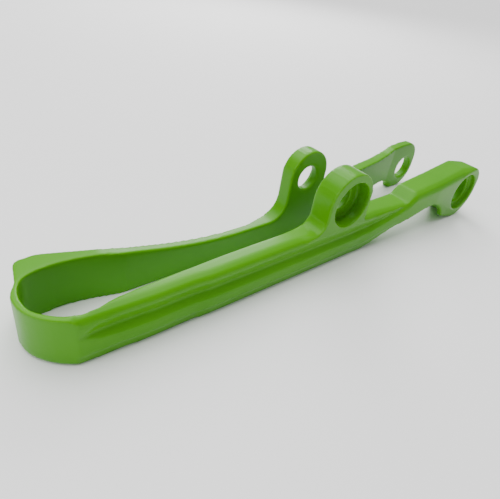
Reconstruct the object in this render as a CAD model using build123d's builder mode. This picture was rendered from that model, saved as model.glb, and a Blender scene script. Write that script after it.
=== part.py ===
from build123d import *
import os

# Swingarm chain slider: one moulding, a U-shaped strip with a loop at the front,
# two arms running to the rear, an ear standing on each arm and a boss at each rear end.
# mm. +X runs rearwards along the near arm, +Y across to the far arm, +Z up the strip's width.
# The origin is the centre of the near ear's bolt hole, on the near arm's outer face.

# ---- heights, measured up from the lower edge the part lies on
EAR_Z = 41.0            # bolt axis above the lower edge
STRIP_W = 27.4          # width of the strip at the loop and along the near arm
WAIST_W = 15.0          # width of the far arm at its narrow waist
BASE = -EAR_Z           # lower edge in the part's frame

# ---- plan of the loop and the arms
FRONT_X = -182.6        # foremost point of the loop
CORNER_X = -165.0       # corner where the loop meets the near arm's grooved pad
NEAR_IN = 15.0          # inner face of the near arm behind the loop
FAR_IN = 38.0           # inner face of the far arm between loop and ear
FAR_OUT = 43.5          # outer face of the far arm between loop and ear
FAR_EAR_OUT = 48.0      # outer face of the far ear
FAR_END_IN = 51.0       # inner face of the far rear boss
FAR_END_OUT = 57.5      # outer face of the far rear boss
NEAR_END_OUT = -4.5     # outer face of the near rear boss

# ---- ears
NEAR_EAR_R = 18.3
NEAR_EAR_X = -1.3
NEAR_EAR_Z = 43.0
FAR_EAR_R = 15.7
FAR_EAR_X = 1.0
FAR_EAR_Z = 43.0
EAR_HOLE_R = 8.0
EAR_SEAT_R = 14.4
EAR_SEAT_DEPTH = 9.5

# ---- rear bosses
NEAR_END_X = 152.5      # rearmost point of the near arm
NEAR_BOSS_X = 134.5
NEAR_BOSS_Z = 20.8
FAR_END_X = 147.0       # rearmost point of the far arm
FAR_BOSS_X = 133.7
FAR_BOSS_Z = 16.7
END_HOLE_R = 10.0
FAR_END_HOLE_R = 9.0
END_SEAT_R = 14.2
END_SEAT_DEPTH = 4.0
FAR_SEAT_R = 12.6       # seat on the far ear's outer face
FAR_SEAT_DEPTH = 4.5
LIP_T = 4.0             # thickness of the lip under the near rear boss
END_TOP = 40.0          # top of the near rear end
FAR_END_TOP = 38.0

# ---- chain groove and rib on each outer face
GROOVE_DEPTH = 3.2
GROOVE_UP = 7.6         # groove's fade-out above its deepest line
GROOVE_DOWN = 4.4       # from the deepest line down to the rib's upper edge
GROOVE_Z = 16.5         # deepest line above the lower edge
FAR_GROOVE_Z = 12.5
FAR_GROOVE_DEPTH = 1.6  # the far arm is thinner, so its groove is shallower
FAR_GROOVE_UP = 2.2
RIB_LOW_Z = 6.3         # rib's lower edge
BAND_IN = 2.6           # how far the face below the rib leans in at the lower edge
ROOT = 5.0              # how far an ear's outline runs down into the strip
CLEAR = 4.0             # how far a cutting profile stands outside the face
NEAR_FLARE = 1 + CLEAR / GROOVE_DEPTH       # carries the groove's sides on out past the face
FAR_FLARE = 1 + CLEAR / FAR_GROOVE_DEPTH
BAND_STEP = 0.9         # undercut just below the rib
BAND_STEP_H = 1.4
SHOULDER = 1.5          # middle of the shoulder, in from the two faces it joins
SHOULDER_RUN = 9.0      # the shoulder's cutting profile, along each face
SHOULDER_OUT = 2.0      # and outside it
LOOP_LOW_R = 2.5        # round on the loop's lower edge
EAR_EDGE_R = 1.2        # round on the ear's inner outline
TOL = 0.01              # how near an edge lies to the face it is picked by


def side(x, z):
    """A point of a side outline, its height given from the lower edge."""
    return (x, z + BASE)


def corner(sketch, point):
    """The sketch's vertex nearest a point of its own plane."""
    return sketch.vertices().sort_by_distance((*point, 0))[0]


# ---------------------------------------------------------------- outlines seen from above
MID_Y = 28.7            # the loop is halved here, at its foremost point
REACH = 60.0            # further than the part goes on from there
PLAN_LOW = BASE - CLEAR
PLAN_TALL = 80.0
PAST_FRONT_X = FRONT_X - CLEAR
PAST_END_X = 160.0      # the outlines run on past both ends and are cut back by each other

with BuildSketch(Plane.XY.offset(PLAN_LOW)) as near_plan:
    with BuildLine():
        Spline(
            (FRONT_X, MID_Y), (-181.6, 21.0), (-176.0, 11.6), (CORNER_X, 3.0),
            tangents=[(0, -1), (1, -0.62)],
        )
        Polyline(
            (CORNER_X, 3.0), (-130, 0.9), (-106, 0.9), (-98, 0), (18, 0),
            (62, -3.2), (96, NEAR_END_OUT), (158, NEAR_END_OUT), (158, 0), (131, NEAR_IN), (-20, NEAR_IN),
        )
        Spline(
            (-20, NEAR_IN), (-32, 13.3), (-60, 12.4), (-100, 11.6), (-138, 10.0), (-149, 8.6), (-157.5, 7.1),
            tangents=[(-1, -0.05), (-1, 0)],
        )
        Spline(
            (-157.5, 7.1), (-169.0, 10.0), (-175.4, 15.8), (-179.1, MID_Y),
            tangents=[(-1, 0), (0, 1)],
        )
        Line((-179.1, MID_Y), (FRONT_X, MID_Y))
    make_face()

with BuildSketch(Plane.XY.offset(PLAN_LOW)) as far_plan:
    with BuildLine():
        Spline(
            (FRONT_X, MID_Y), (-181.4, 33.5), (-178.0, 39.5),
            tangents=[(0, 1), (0.6, 1)],
        )
        Polyline(
            (-178.0, 39.5), (-174.4, 54.6), (-163.0, 55.2), (-136.0, 45.6), (-122, FAR_OUT),
            (-42, FAR_OUT), (-22, FAR_EAR_OUT), (20, FAR_EAR_OUT), (60, 52), (89, 55.5),
            (112, FAR_END_OUT), (PAST_END_X, FAR_END_OUT), (PAST_END_X, FAR_END_IN), (114, FAR_END_IN),
            (89, 47.7), (60, 44.2), (16, FAR_IN), (-126, FAR_IN),
        )
        Spline(
            (-126, FAR_IN), (-138, 40.6), (-151.6, 43.3), (-164, 43.4), (-174.2, 40.2), (-179.1, MID_Y),
            tangents=[(-1, 0.1), (0, -1)],
        )
        Line((-179.1, MID_Y), (FRONT_X, MID_Y))
    make_face()
    fillet(corner(far_plan, (-174.4, 54.6)), 5)
    fillet(corner(far_plan, (-163.0, 55.2)), 12)
    fillet(corner(far_plan, (-136.0, 45.6)), 30)

# ---------------------------------------------------------------- outlines seen from the side
with BuildSketch(Plane.XZ) as near_side:
    with BuildLine():
        Polyline(
            side(PAST_FRONT_X, 0), side(26, 0), side(53, 11.6), side(90, 19.6),
        )
        ThreePointArc(side(90, 19.6), side(101.5, 17.0), side(109, 10.7))
        Polyline(
            side(109, 10.7), side(113, 5.0), side(131, 0), side(NEAR_END_X, 0), side(NEAR_END_X, END_TOP),
            side(128, END_TOP), side(100, 36.4), side(70, 33.2), side(62, STRIP_W),
            side(PAST_FRONT_X, STRIP_W), side(PAST_FRONT_X, 0),
        )
    make_face()
    fillet(corner(near_side, side(NEAR_END_X, 0)), 21)
    fillet(corner(near_side, side(NEAR_END_X, END_TOP)), 15)
    fillet(corner(near_side, side(26, 0)), 30)
    fillet(corner(near_side, side(53, 11.6)), 40)
    fillet(corner(near_side, side(70, 33.2)), 5)
    fillet(corner(near_side, side(62, STRIP_W)), 5)
    with Locations(side(NEAR_EAR_X, NEAR_EAR_Z)):
        Circle(NEAR_EAR_R)
    with Locations(side(NEAR_EAR_X, NEAR_EAR_Z)):
        Rectangle(2 * NEAR_EAR_R, NEAR_EAR_Z - STRIP_W + ROOT, align=(Align.CENTER, Align.MAX))
    fillet(corner(near_side, side(NEAR_EAR_X - NEAR_EAR_R, STRIP_W)), 7)
    fillet(corner(near_side, side(NEAR_EAR_X + NEAR_EAR_R, STRIP_W)), 5)

with BuildSketch(Plane.XZ) as far_side:
    with BuildLine():
        Polyline(
            side(PAST_FRONT_X, 0), side(30, 0), side(60, 5.5), side(97, 9.0),
        )
        ThreePointArc(side(97, 9.0), side(110, 8.8), side(120, 4.0))
        Polyline(
            side(120, 4.0), side(122, 0), side(FAR_END_X, 0), side(FAR_END_X, FAR_END_TOP),
            side(125, FAR_END_TOP), side(113, 36.6), side(104, 34.0), side(89, 32.0), side(60, 31.0),
            side(30, 30.0), side(FAR_EAR_X, 30.0), side(FAR_EAR_X, WAIST_W), side(-46, WAIST_W),
        )
        Spline(
            side(-46, WAIST_W), side(-76, 16.5), side(-109, 22.1), side(-138, STRIP_W),
            tangents=[(-1, 0), (-1, 0.1)],
        )
        Polyline(side(-138, STRIP_W), side(PAST_FRONT_X, STRIP_W), side(PAST_FRONT_X, 0))
    make_face()
    fillet(corner(far_side, side(FAR_END_X, 0)), 17)
    fillet(corner(far_side, side(FAR_END_X, FAR_END_TOP)), 14)
    fillet(corner(far_side, side(30, 0)), 40)
    with Locations(side(FAR_EAR_X, FAR_EAR_Z)):
        Circle(FAR_EAR_R)
    with Locations(side(FAR_EAR_X, FAR_EAR_Z)):
        Rectangle(2 * FAR_EAR_R, FAR_EAR_Z - WAIST_W + ROOT, align=(Align.CENTER, Align.MAX))
    fillet(corner(far_side, side(FAR_EAR_X - FAR_EAR_R, WAIST_W)), 13)
    fillet(corner(far_side, side(FAR_EAR_X + FAR_EAR_R, 30.0)), 6)

# ---------------------------------------------------------------- stations along the outer faces
# x, y and height of a line on the face, moved outwards where the cut fades away, and the cut's scale
NEAR_GROOVE = [
    (-167, 0.6, GROOVE_Z, 0.75), (-156, 2.3, GROOVE_Z, 0.85), (-146, 1.9, GROOVE_Z, 1),
    (-129, 0.9, GROOVE_Z, 1), (-106, 0.9, GROOVE_Z, 1),
    (-98, 0, GROOVE_Z, 1), (14, 0, GROOVE_Z, 1), (26, -0.6, GROOVE_Z + 1.2, 0.9),
    (40, -1.6, GROOVE_Z + 4.4, 0.75), (56, -2.8, GROOVE_Z + 8.4, 0.65), (68, -5.4, GROOVE_Z + 11.3, 0.5),
]
# x, y and height of a line on the face, moved outwards where the cut fades away
NEAR_BAND = [
    (-172, 2.6, RIB_LOW_Z), (-150, 2.1, RIB_LOW_Z), (-129, 0.9, RIB_LOW_Z), (-106, 0.9, RIB_LOW_Z),
    (-98, 0, RIB_LOW_Z), (14, 0, RIB_LOW_Z), (28, -0.7, RIB_LOW_Z + 1.8),
    (54, -3.6, RIB_LOW_Z + 11), (70, -6.6, RIB_LOW_Z + 14),
]
FRONT_SHOULDER = [
    (-171, -1.5, STRIP_W), (-164, 2.9, STRIP_W), (-130, 0.9, STRIP_W), (-106, 0.9, STRIP_W),
    (-98, 0, STRIP_W), (-36, 0, STRIP_W), (-24, -3.4, STRIP_W),
]
REAR_SHOULDER = [
    (17, -2.2, STRIP_W), (30, -0.8, STRIP_W), (60, -3.0, STRIP_W + 0.4),
    (70, -3.5, 33.2), (100, NEAR_END_OUT, 36.4), (124, NEAR_END_OUT, 39.4), (141, -7.0, END_TOP),
]
FAR_GROOVE = [
    (-143, 51.0, FAR_GROOVE_Z), (-128, 44.6, FAR_GROOVE_Z), (-118, FAR_OUT, FAR_GROOVE_Z),
    (-60, FAR_OUT, FAR_GROOVE_Z), (-44, FAR_OUT + 2.2, FAR_GROOVE_Z),
]


def across(x, y, z):
    """The plane across the strip at a station: its x runs along +Y, its y along +Z."""
    return Plane(origin=(x, y, z + BASE), x_dir=(0, 1, 0), z_dir=(1, 0, 0))


# ---------------------------------------------------------------- near half
with BuildPart() as near_half:
    add(near_plan.sketch)
    extrude(amount=PLAN_TALL)
    with BuildSketch(Plane.XZ.offset(-MID_Y)):
        add(near_side.sketch)
    extrude(amount=REACH, mode=Mode.INTERSECT)
    # soft rounds on the loop's lower edge and on the ear's inner outline
    edges = near_half.edges()
    loop_low = edges.filter_by(lambda e: e.bounding_box().max.Z < BASE + TOL and e.center().X < CORNER_X)
    fillet(loop_low.filter_by(lambda e: e.bounding_box().min.X < FRONT_X + 1), LOOP_LOW_R)
    ear_in = near_half.edges().filter_by(
        lambda e: e.bounding_box().min.Y > NEAR_IN - TOL and e.bounding_box().max.Y < NEAR_IN + TOL
        and e.bounding_box().min.Z > BASE + STRIP_W - TOL and abs(e.center().X) < NEAR_EAR_R + 5
    )
    fillet(ear_in, EAR_EDGE_R)
    # chain groove: a crease with a sloping upper side and a short flank down to the rib
    for x, y, z, k in NEAR_GROOVE:
        with BuildSketch(across(x, y, z)):
            with BuildLine():
                Polyline(
                    (-CLEAR * k, -GROOVE_DOWN * NEAR_FLARE * k), (GROOVE_DEPTH * k, 0),
                    (-CLEAR * k, GROOVE_UP * NEAR_FLARE * k), close=True,
                )
            make_face()
    loft(ruled=True, mode=Mode.SUBTRACT)
    # face below the rib, leaning in towards the lower edge
    for x, y, z in NEAR_BAND:
        with BuildSketch(across(x, y, z)):
            with BuildLine():
                Polyline(
                    (-CLEAR, BAND_STEP_H * CLEAR / BAND_STEP), (BAND_STEP, -BAND_STEP_H),
                    (BAND_IN, -RIB_LOW_Z - CLEAR), (-CLEAR, -RIB_LOW_Z - CLEAR), close=True,
                )
            make_face()
    loft(ruled=True, mode=Mode.SUBTRACT)
    # soft shoulders between the top and the outer face, before and behind the ear
    for stations in (FRONT_SHOULDER, REAR_SHOULDER):
        for x, y, z in stations:
            with BuildSketch(across(x, y, z)):
                with BuildLine():
                    Polyline(
                        (-SHOULDER_OUT, -SHOULDER_RUN), (SHOULDER, -SHOULDER), (SHOULDER_RUN, SHOULDER_OUT),
                        (-SHOULDER_OUT, SHOULDER_OUT), close=True,
                    )
                make_face()
        loft(ruled=True, mode=Mode.SUBTRACT)
    # the foot under the rear boss is a thin lip on the outer face, open behind
    with BuildSketch(Plane.XZ.offset(-NEAR_END_OUT - LIP_T)):
        with BuildLine():
            Polyline(
                side(92, -CLEAR), side(101, 17.4), side(109, 12.6), side(120, 7.0), side(136, -CLEAR),
                close=True,
            )
        make_face()
    extrude(amount=-REACH, mode=Mode.SUBTRACT)
    # bolt hole and its seat in the ear
    with BuildSketch(Plane.XZ.offset(CLEAR)):
        Circle(EAR_HOLE_R)
    extrude(amount=-(NEAR_IN + 2 * CLEAR), mode=Mode.SUBTRACT)
    with BuildSketch(Plane.XZ.offset(CLEAR)):
        Circle(EAR_SEAT_R)
    extrude(amount=-(CLEAR + EAR_SEAT_DEPTH), mode=Mode.SUBTRACT)
    # bolt hole and its seat in the rear boss
    with BuildSketch(Plane.XZ.offset(-NEAR_END_OUT + CLEAR)):
        with Locations(side(NEAR_BOSS_X, NEAR_BOSS_Z)):
            Circle(END_HOLE_R)
    extrude(amount=-(NEAR_IN - NEAR_END_OUT + 2 * CLEAR), mode=Mode.SUBTRACT)
    with BuildSketch(Plane.XZ.offset(-NEAR_END_OUT + CLEAR)):
        with Locations(side(NEAR_BOSS_X, NEAR_BOSS_Z)):
            Circle(END_SEAT_R)
    extrude(amount=-(CLEAR + END_SEAT_DEPTH), mode=Mode.SUBTRACT)

# ---------------------------------------------------------------- far half
with BuildPart() as far_half:
    add(far_plan.sketch)
    extrude(amount=PLAN_TALL)
    with BuildSketch(Plane.XZ.offset(-MID_Y)):
        add(far_side.sketch)
    extrude(amount=-REACH, mode=Mode.INTERSECT)
    for x, y, z in FAR_GROOVE:
        with BuildSketch(across(x, y, z)):
            with BuildLine():
                Polyline(
                    (CLEAR, -GROOVE_DOWN * FAR_FLARE), (-FAR_GROOVE_DEPTH, 0),
                    (CLEAR, FAR_GROOVE_UP * FAR_FLARE),
                    close=True,
                )
            make_face()
    loft(ruled=True, mode=Mode.SUBTRACT)
    with BuildSketch(Plane.XZ.offset(-FAR_IN + CLEAR)):
        Circle(EAR_HOLE_R)
    extrude(amount=-(FAR_EAR_OUT - FAR_IN + 2 * CLEAR), mode=Mode.SUBTRACT)
    with BuildSketch(Plane.XZ.offset(-FAR_END_IN + CLEAR)):
        with Locations(side(FAR_BOSS_X, FAR_BOSS_Z)):
            Circle(FAR_END_HOLE_R)
    extrude(amount=-(FAR_END_OUT - FAR_END_IN + 2 * CLEAR), mode=Mode.SUBTRACT)
    # seat on the ear's outer face
    with BuildSketch(Plane.XZ.offset(-FAR_EAR_OUT + FAR_SEAT_DEPTH)):
        Circle(FAR_SEAT_R)
    extrude(amount=-(FAR_SEAT_DEPTH + CLEAR), mode=Mode.SUBTRACT)

# ---------------------------------------------------------------- the whole moulding
with BuildPart() as chain_slider:
    add(near_half.part)
    add(far_half.part)

chain_slider.part.label = "chain_slider"
os.makedirs("parts", exist_ok=True)
export_step(chain_slider.part, "parts/chain_slider.step")
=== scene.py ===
import logging
import math
from dataclasses import dataclass, field
from enum import Enum
from typing import Any, Optional, Union

import bmesh
import bpy
from mathutils import Matrix, Vector


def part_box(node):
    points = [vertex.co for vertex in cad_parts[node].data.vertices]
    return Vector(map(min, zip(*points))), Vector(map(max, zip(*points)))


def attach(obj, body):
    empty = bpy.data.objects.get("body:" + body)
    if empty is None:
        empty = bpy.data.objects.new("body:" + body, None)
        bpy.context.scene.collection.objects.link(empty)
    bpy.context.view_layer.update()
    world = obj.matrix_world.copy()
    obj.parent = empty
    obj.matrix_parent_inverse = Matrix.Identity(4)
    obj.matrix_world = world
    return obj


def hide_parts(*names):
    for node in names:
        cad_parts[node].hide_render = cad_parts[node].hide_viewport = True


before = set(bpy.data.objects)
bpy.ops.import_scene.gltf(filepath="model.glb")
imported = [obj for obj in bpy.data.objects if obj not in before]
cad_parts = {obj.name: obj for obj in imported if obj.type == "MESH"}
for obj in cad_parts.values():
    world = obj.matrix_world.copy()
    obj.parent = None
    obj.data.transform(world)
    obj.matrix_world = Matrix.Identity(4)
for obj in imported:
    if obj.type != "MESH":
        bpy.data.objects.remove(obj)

# Looks of a moulded chain slider: its softened skin, its finish and the studio round it.
# Lengths are in metres. +X runs rearwards along the near arm, +Y across to the far arm,
# +Z up the width of the strip. The origin is the near ear's bolt hole, on the outer face.

LOG = logging.getLogger("chain_slider")
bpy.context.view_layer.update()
MM = 0.001
NODE = "chain_slider"
BODY = "root"
LOWER_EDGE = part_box(NODE)[0][2]
BETWEEN_ARMS = 0.026

Value = Union["Socket", float]
Triple = tuple[float, float, float]
Colour = tuple[float, float, float, float]
Stops = tuple[tuple[float, float], ...]


class Op(Enum):
    """The Math operations that the finishes use."""

    ADD = "ADD"
    SUBTRACT = "SUBTRACT"
    MULTIPLY = "MULTIPLY"


# ------------------------------------------------------------------ shader graph
@dataclass(frozen=True)
class Graph:
    """A material's node tree, and the one way nodes are put into it."""

    tree: bpy.types.NodeTree

    def node(self, kind: str, settings: Optional[dict[str, Any]] = None,
             sockets: Optional[dict[Any, Any]] = None) -> bpy.types.Node:
        """Add a node.

        Args:
            kind: the node's type name, such as ShaderNodeTexNoise.
            settings: properties set before the sockets; "stops" holds a ramp's stops.
            sockets: values or links by input name or index.

        Returns:
            The new node.
        """
        made = self.tree.nodes.new(kind)
        for name, value in (settings or {}).items():
            if name == "stops":
                self._stops(made, value)
            else:
                setattr(made, name, value)
        for key, value in (sockets or {}).items():
            target = made.inputs[key]
            if isinstance(value, Socket):
                self.tree.links.new(value.out, target)
            else:
                target.default_value = value
        return made

    @staticmethod
    def _stops(ramp: bpy.types.Node, stops: Stops) -> None:
        """Set a ramp's grey stops.

        Args:
            ramp: the ramp's node.
            stops: position and level of each stop.
        """
        elements = ramp.color_ramp.elements
        while len(elements) > 1:
            elements.remove(elements[-1])
        for index, (position, level) in enumerate(stops):
            stop = elements[0] if index == 0 else elements.new(position)
            stop.position = position
            stop.color = (level, level, level, 1.0)

    def math(self, op: Op, left: Value, right: Value) -> "Socket":
        """Combine two values with a Math node."""
        made = self.node("ShaderNodeMath", {"operation": op.value}, {0: left, 1: right})
        return Socket(self, made.outputs[0])

    def noise(self, scale: float, detail: float, roughness: float = 0.5,
              stretch: Triple = (1.0, 1.0, 1.0)) -> "Socket":
        """Noise over the object's own coordinates.

        Args:
            scale: turns per metre.
            detail: octaves.
            roughness: how strongly the finer octaves show.
            stretch: scale along each axis.

        Returns:
            The noise's value, about 0 to 1.
        """
        place = self.node("ShaderNodeTexCoord")
        mapped = self.node("ShaderNodeMapping", {}, {
            "Vector": Socket(self, place.outputs["Object"]), "Scale": stretch})
        made = self.node("ShaderNodeTexNoise", {"noise_dimensions": "3D"}, {
            "Vector": Socket(self, mapped.outputs[0]), "Scale": scale,
            "Detail": detail, "Roughness": roughness})
        return Socket(self, made.outputs["Fac"])

    def ramp(self, value: "Socket", stops: Stops) -> "Socket":
        """Remap a value through grey stops."""
        made = self.node("ShaderNodeValToRGB", {"stops": stops}, {"Fac": value})
        return Socket(self, made.outputs["Color"])

    def mix(self, factor: Value, first: Any, second: Any) -> "Socket":
        """Mix two colours."""
        made = self.node("ShaderNodeMix", {"data_type": "RGBA"},
                         {0: factor, 6: first, 7: second})
        return Socket(self, made.outputs[2])


@dataclass(frozen=True)
class Socket:
    """An output socket that adds, subtracts and multiplies as a number does."""

    graph: Graph
    out: bpy.types.NodeSocket

    def __add__(self, other: Value) -> "Socket":
        """Sum."""
        return self.graph.math(Op.ADD, self, other)

    def __radd__(self, other: Value) -> "Socket":
        """Sum with the number first."""
        return self.graph.math(Op.ADD, other, self)

    def __sub__(self, other: Value) -> "Socket":
        """Difference."""
        return self.graph.math(Op.SUBTRACT, self, other)

    def __rsub__(self, other: Value) -> "Socket":
        """Difference with the number first."""
        return self.graph.math(Op.SUBTRACT, other, self)

    def __mul__(self, other: Value) -> "Socket":
        """Product."""
        return self.graph.math(Op.MULTIPLY, self, other)

    def __rmul__(self, other: Value) -> "Socket":
        """Product with the number first."""
        return self.graph.math(Op.MULTIPLY, other, self)


# ------------------------------------------------------------------ finishes
@dataclass(frozen=True)
class MouldedPlastic:
    """Bright green plastic, coloured through, with a satin moulded skin."""

    deep: Colour = (0.046, 0.235, 0.0, 1.0)
    bright: Colour = (0.088, 0.345, 0.0, 1.0)
    # Lighter green, used both for real scratches and for the painted highlight along convex
    # edges.
    scuffed_and_highlight: Colour = (0.200, 0.560, 0.004, 1.0)
    roughness: float = 0.30
    shine: float = 0.20
    refraction: float = 1.50

    # Patterns: turns per metre, and how far the flow and scuffs are drawn out along the part.
    cloud: float = 22.0
    flow: float = 46.0
    flow_stretch: Triple = (0.25, 1.0, 1.0)
    grain: float = 2600.0
    ripple: float = 60.0
    scuff: float = 900.0
    scuff_fineness: float = 0.65
    scuff_stretch: Triple = (0.12, 1.0, 1.0)
    edge_stops: Stops = ((0.515, 0.0), (0.60, 1.0))
    scratch_stops: Stops = ((0.66, 0.0), (0.78, 1.0))

    # How strongly each pattern shows in the tone, the wear and the painted edge highlight, the
    # roughness and the height.
    cloud_tone: float = 0.55
    flow_tone: float = 0.45
    # Strength of the painted highlight that lightens every convex edge.
    edge_highlight: float = 0.34
    scratch_wear: float = 0.07
    flow_rough: float = 0.10
    grain_rough: float = 0.05
    scratch_rough: float = 0.08
    smoother: float = 0.06
    ripple_height: float = 0.55
    grain_height: float = 0.10
    scratch_depth: float = 0.08
    bump_strength: float = 0.22
    bump_distance: float = 0.35 * MM

    def material(self) -> bpy.types.Material:
        """Build the material.

        Returns:
            The finished material.
        """
        made = bpy.data.materials.new("green_moulded_plastic")
        made.use_nodes = True
        graph = Graph(made.node_tree)
        shader = made.node_tree.nodes["Principled BSDF"]
        shader.inputs["IOR"].default_value = self.refraction
        shader.inputs["Specular IOR Level"].default_value = self.shine

        cloud = graph.noise(self.cloud, 3.0)
        flow = graph.noise(self.flow, 4.0, stretch=self.flow_stretch)
        grain = graph.noise(self.grain, 2.0)
        ripple = graph.noise(self.ripple, 2.0)
        scuffs = graph.noise(self.scuff, 3.0, self.scuff_fineness, stretch=self.scuff_stretch)
        # Convex edges, found by pointiness, get a painted highlight: they are mixed towards the
        # lighter green.
        edges = Socket(graph, graph.node("ShaderNodeNewGeometry").outputs["Pointiness"])
        painted_edge_highlight = graph.ramp(edges, self.edge_stops)

        blend = self.cloud_tone * cloud + self.flow_tone * flow
        tone = graph.mix(blend, self.deep, self.bright)
        scratch = graph.ramp(scuffs, self.scratch_stops)
        # Real scratch wear plus the painted edge highlight, both mixed into the tone.
        wear_and_edge_highlight = self.edge_highlight * painted_edge_highlight + self.scratch_wear * scratch
        graph.tree.links.new(graph.mix(wear_and_edge_highlight, tone, self.scuffed_and_highlight).out, shader.inputs["Base Color"])

        rough = (self.roughness + self.flow_rough * flow + self.grain_rough * grain
                 + self.scratch_rough * scratch - self.smoother)
        graph.tree.links.new(rough.out, shader.inputs["Roughness"])

        height = (self.ripple_height * ripple + self.grain_height * grain
                  - self.scratch_depth * scratch)
        bump = graph.node("ShaderNodeBump", {}, {
            "Height": height, "Strength": self.bump_strength,
            "Distance": self.bump_distance})
        graph.tree.links.new(bump.outputs["Normal"], shader.inputs["Normal"])
        return made


@dataclass(frozen=True)
class PaleSweep:
    """A plain matt floor, nearly white."""

    colour: Colour = (0.90, 0.90, 0.90, 1.0)
    roughness: float = 0.75

    def material(self) -> bpy.types.Material:
        """Build the material.

        Returns:
            The finished material.
        """
        made = bpy.data.materials.new("pale_floor")
        made.use_nodes = True
        shader = made.node_tree.nodes["Principled BSDF"]
        shader.inputs["Base Color"].default_value = self.colour
        shader.inputs["Roughness"].default_value = self.roughness
        return made


# ------------------------------------------------------------------ the moulding
@dataclass(frozen=True)
class WitnessLine:
    """A fine raised line left across an ear's rim by the mould.

    Args:
        centre_x: the ear's centre along the part.
        centre_z: the ear's centre in height.
        angle: where on the rim the line lies, in degrees up from forwards.
        near: whether the line is on the near ear.
        inner: how far from the ear's centre the line starts.
        half_width: from the line's crest to its foot.
    """

    centre_x: float
    centre_z: float
    angle: float
    near: bool
    inner: float = 0.0145
    half_width: float = 0.0009

    def lift(self, point: Vector) -> float:
        """Tell how strongly a point is on the line.

        Args:
            point: a place on the part.

        Returns:
            1 on the line's crest, falling to 0 at its foot and beyond.
        """
        if (point.y < BETWEEN_ARMS) != self.near:
            return 0.0
        turn = math.radians(self.angle)
        along = Vector((-math.cos(turn), math.sin(turn)))
        offset = Vector((point.x - self.centre_x, point.z - self.centre_z))
        reach = offset.dot(along)
        aside = abs(offset.x * along.y - offset.y * along.x)
        if reach < self.inner or aside > self.half_width:
            return 0.0
        return 0.5 + 0.5 * math.cos(math.pi * aside / self.half_width)


@dataclass
class Moulding:
    """The slider itself: one piece, its edges softened as a moulding's are."""

    weld: float = 0.002 * MM
    voxel: float = 0.82 * MM
    passes: int = 4
    strength: float = 0.5
    line_height: float = 0.16 * MM
    lines_above: float = -0.012
    side_facing: float = 0.35
    finish: MouldedPlastic = field(default_factory=MouldedPlastic)
    lines: tuple[WitnessLine, ...] = (
        WitnessLine(-0.0013, 0.002, 62.0, True),
        WitnessLine(-0.0013, 0.002, 30.0, True),
        WitnessLine(0.001, 0.002, 66.0, False),
        WitnessLine(0.001, 0.002, 24.0, False),
    )

    def build(self) -> bpy.types.Object:
        """Build the softened piece and give it its finish.

        Returns:
            The piece that stands for the CAD node.
        """
        piece = self._copy()
        self._remesh(piece)
        self._soften(piece)
        self._raise_lines(piece)
        self._keep_in_box(piece)
        piece.data.materials.clear()
        piece.data.materials.append(self.finish.material())
        piece.data.polygons.foreach_set("use_smooth", [True] * len(piece.data.polygons))
        piece.data.update()
        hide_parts(NODE)
        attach(piece, BODY)
        return piece

    @staticmethod
    def _copy() -> bpy.types.Object:
        """Copy the node's shape.

        Returns:
            A new object, standing where the node stands.
        """
        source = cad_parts[NODE]
        mesh = source.data.copy()
        mesh.name = "moulding"
        piece = bpy.data.objects.new("moulding", mesh)
        bpy.context.scene.collection.objects.link(piece)
        piece.matrix_world = source.matrix_world.copy()
        return piece

    @staticmethod
    def _apply(piece: bpy.types.Object) -> None:
        """Apply the piece's modifiers to its mesh.

        Args:
            piece: the moulding.
        """
        depsgraph = bpy.context.evaluated_depsgraph_get()
        baked = bpy.data.meshes.new_from_object(piece.evaluated_get(depsgraph))
        piece.modifiers.clear()
        piece.data = baked

    def _remesh(self, piece: bpy.types.Object) -> None:
        """Give the piece an even skin of small faces.

        Args:
            piece: the moulding.
        """
        work = bmesh.new()
        work.from_mesh(piece.data)
        bmesh.ops.remove_doubles(work, verts=work.verts, dist=self.weld)
        work.to_mesh(piece.data)
        work.free()
        skin = piece.modifiers.new("skin", "REMESH")
        skin.mode = "VOXEL"
        skin.voxel_size = self.voxel
        self._apply(piece)

    def _soften(self, piece: bpy.types.Object) -> None:
        """Round every edge a little, without thinning the walls.

        Args:
            piece: the moulding.
        """
        soft = piece.modifiers.new("soft", "SMOOTH")
        soft.factor = self.strength
        soft.iterations = self.passes
        self._apply(piece)

    def _raise_lines(self, piece: bpy.types.Object) -> None:
        """Raise the witness lines on the ears' rims, above the arms and off their sides.

        Args:
            piece: the moulding.
        """
        for vertex in piece.data.vertices:
            if vertex.co.z < self.lines_above or abs(vertex.normal.y) > self.side_facing:
                continue
            lift = max(line.lift(vertex.co) for line in self.lines)
            if lift > 0.0:
                vertex.co = vertex.co + vertex.normal * (lift * self.line_height)

    @staticmethod
    def _keep_in_box(piece: bpy.types.Object) -> None:
        """Hold every point inside the node's box.

        Args:
            piece: the moulding.
        """
        low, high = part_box(NODE)
        for vertex in piece.data.vertices:
            for axis in range(3):
                vertex.co[axis] = min(max(vertex.co[axis], low[axis]), high[axis])


# ------------------------------------------------------------------ the studio
@dataclass(frozen=True)
class Lamp:
    """A square soft light.

    Args:
        name: the light's name.
        place: where it stands.
        aim: the point it faces.
        size: its side.
        power: its power in watts.
    """

    name: str
    place: Triple
    aim: Triple
    size: float
    power: float

    def build(self) -> None:
        """Add the light to the scene."""
        lamp = bpy.data.lights.new(self.name, "AREA")
        lamp.size = self.size
        lamp.energy = self.power
        holder = bpy.data.objects.new(self.name, lamp)
        bpy.context.scene.collection.objects.link(holder)
        toward = Vector(self.aim) - Vector(self.place)
        turn = toward.to_track_quat("-Z", "Y").to_matrix().to_4x4()
        holder.matrix_world = Matrix.Translation(Vector(self.place)) @ turn


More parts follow.
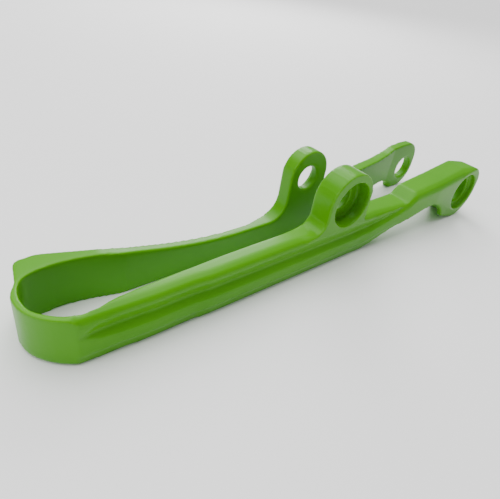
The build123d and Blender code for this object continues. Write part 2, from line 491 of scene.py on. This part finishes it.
@dataclass
class Studio:
    """A pale floor, soft lights and a plain bright room."""

    floor_size: float = 80.0
    room_light: float = 0.45
    top_light: float = 3.6
    top_spread: float = 70.0
    top_toward: Triple = (-0.05, -0.30, -1.0)
    lamps: tuple[Lamp, ...] = (
        Lamp("rear_light", (0.55, 0.85, 0.55), (0.02, 0.02, 0.0), 0.50, 7.0),
        Lamp("front_light", (-0.70, 0.05, 0.45), (-0.05, 0.02, 0.0), 0.30, 1.6),
    )

    def build(self) -> None:
        """Build the floor, the room and the lights."""
        self._floor()
        self._room()
        self._sky_light()
        for lamp in self.lamps:
            lamp.build()

    def _floor(self) -> None:
        """The floor, under the part's lower edge."""
        half = self.floor_size / 2
        mesh = bpy.data.meshes.new("floor")
        corners = [(-half, -half, LOWER_EDGE), (half, -half, LOWER_EDGE),
                   (half, half, LOWER_EDGE), (-half, half, LOWER_EDGE)]
        mesh.from_pydata(corners, [], [(0, 1, 2, 3)])
        mesh.materials.append(PaleSweep().material())
        floor = bpy.data.objects.new("floor", mesh)
        bpy.context.scene.collection.objects.link(floor)

    def _room(self) -> None:
        """An even white room."""
        world = bpy.data.worlds.new("room")
        world.use_nodes = True
        sky = world.node_tree.nodes["Background"]
        sky.inputs["Color"].default_value = (1.0, 1.0, 1.0, 1.0)
        sky.inputs["Strength"].default_value = self.room_light
        bpy.context.scene.world = world

    def _sky_light(self) -> None:
        """A wide soft light from above and a little behind."""
        sun = bpy.data.lights.new("top_light", "SUN")
        sun.energy = self.top_light
        sun.angle = math.radians(self.top_spread)
        holder = bpy.data.objects.new("top_light", sun)
        bpy.context.scene.collection.objects.link(holder)
        toward = Vector(self.top_toward)
        holder.matrix_world = toward.to_track_quat("-Z", "Y").to_matrix().to_4x4()


@dataclass(frozen=True)
class Viewpoint:
    """The camera: close to the loop, looking down along the arms."""

    place: Triple = (-0.21127, -0.13733, 0.12848)
    heading: float = 45.768
    down_tilt: float = 34.9
    roll: float = 9.4
    lens: float = 33.696
    sensor: float = 36.0
    near_clip: float = 0.01
    far_clip: float = 100.0

    def build(self) -> bpy.types.Object:
        """Build the camera and make it the scene's.

        Returns:
            The camera.
        """
        heading = math.radians(self.heading)
        tilt = math.radians(self.down_tilt)
        roll = math.radians(self.roll)
        forward = Vector((math.cos(tilt) * math.cos(heading),
                          math.cos(tilt) * math.sin(heading), -math.sin(tilt)))
        level = forward.cross(Vector((0.0, 0.0, 1.0))).normalized()
        upright = level.cross(forward)
        right = level * math.cos(roll) + upright * math.sin(roll)
        top = upright * math.cos(roll) - level * math.sin(roll)
        data = bpy.data.cameras.new("viewpoint")
        data.sensor_width = self.sensor
        data.lens = self.lens
        data.clip_start = self.near_clip
        data.clip_end = self.far_clip
        camera = bpy.data.objects.new("viewpoint", data)
        bpy.context.scene.collection.objects.link(camera)
        turn = Matrix((right, top, -forward)).transposed().to_4x4()
        camera.matrix_world = Matrix.Translation(Vector(self.place)) @ turn
        bpy.context.scene.camera = camera
        return camera


def main() -> None:
    """Build the slider, the studio and the camera, in that order."""
    logging.basicConfig(level=logging.INFO, format="%(name)s: %(message)s")
    piece = Moulding().build()
    LOG.info("built %s with %d faces", piece.name, len(piece.data.polygons))
    Studio().build()
    LOG.info("built floor, room and lights")
    camera = Viewpoint().build()
    LOG.info("built %s", camera.name)


if __name__ == "__main__":
    main()
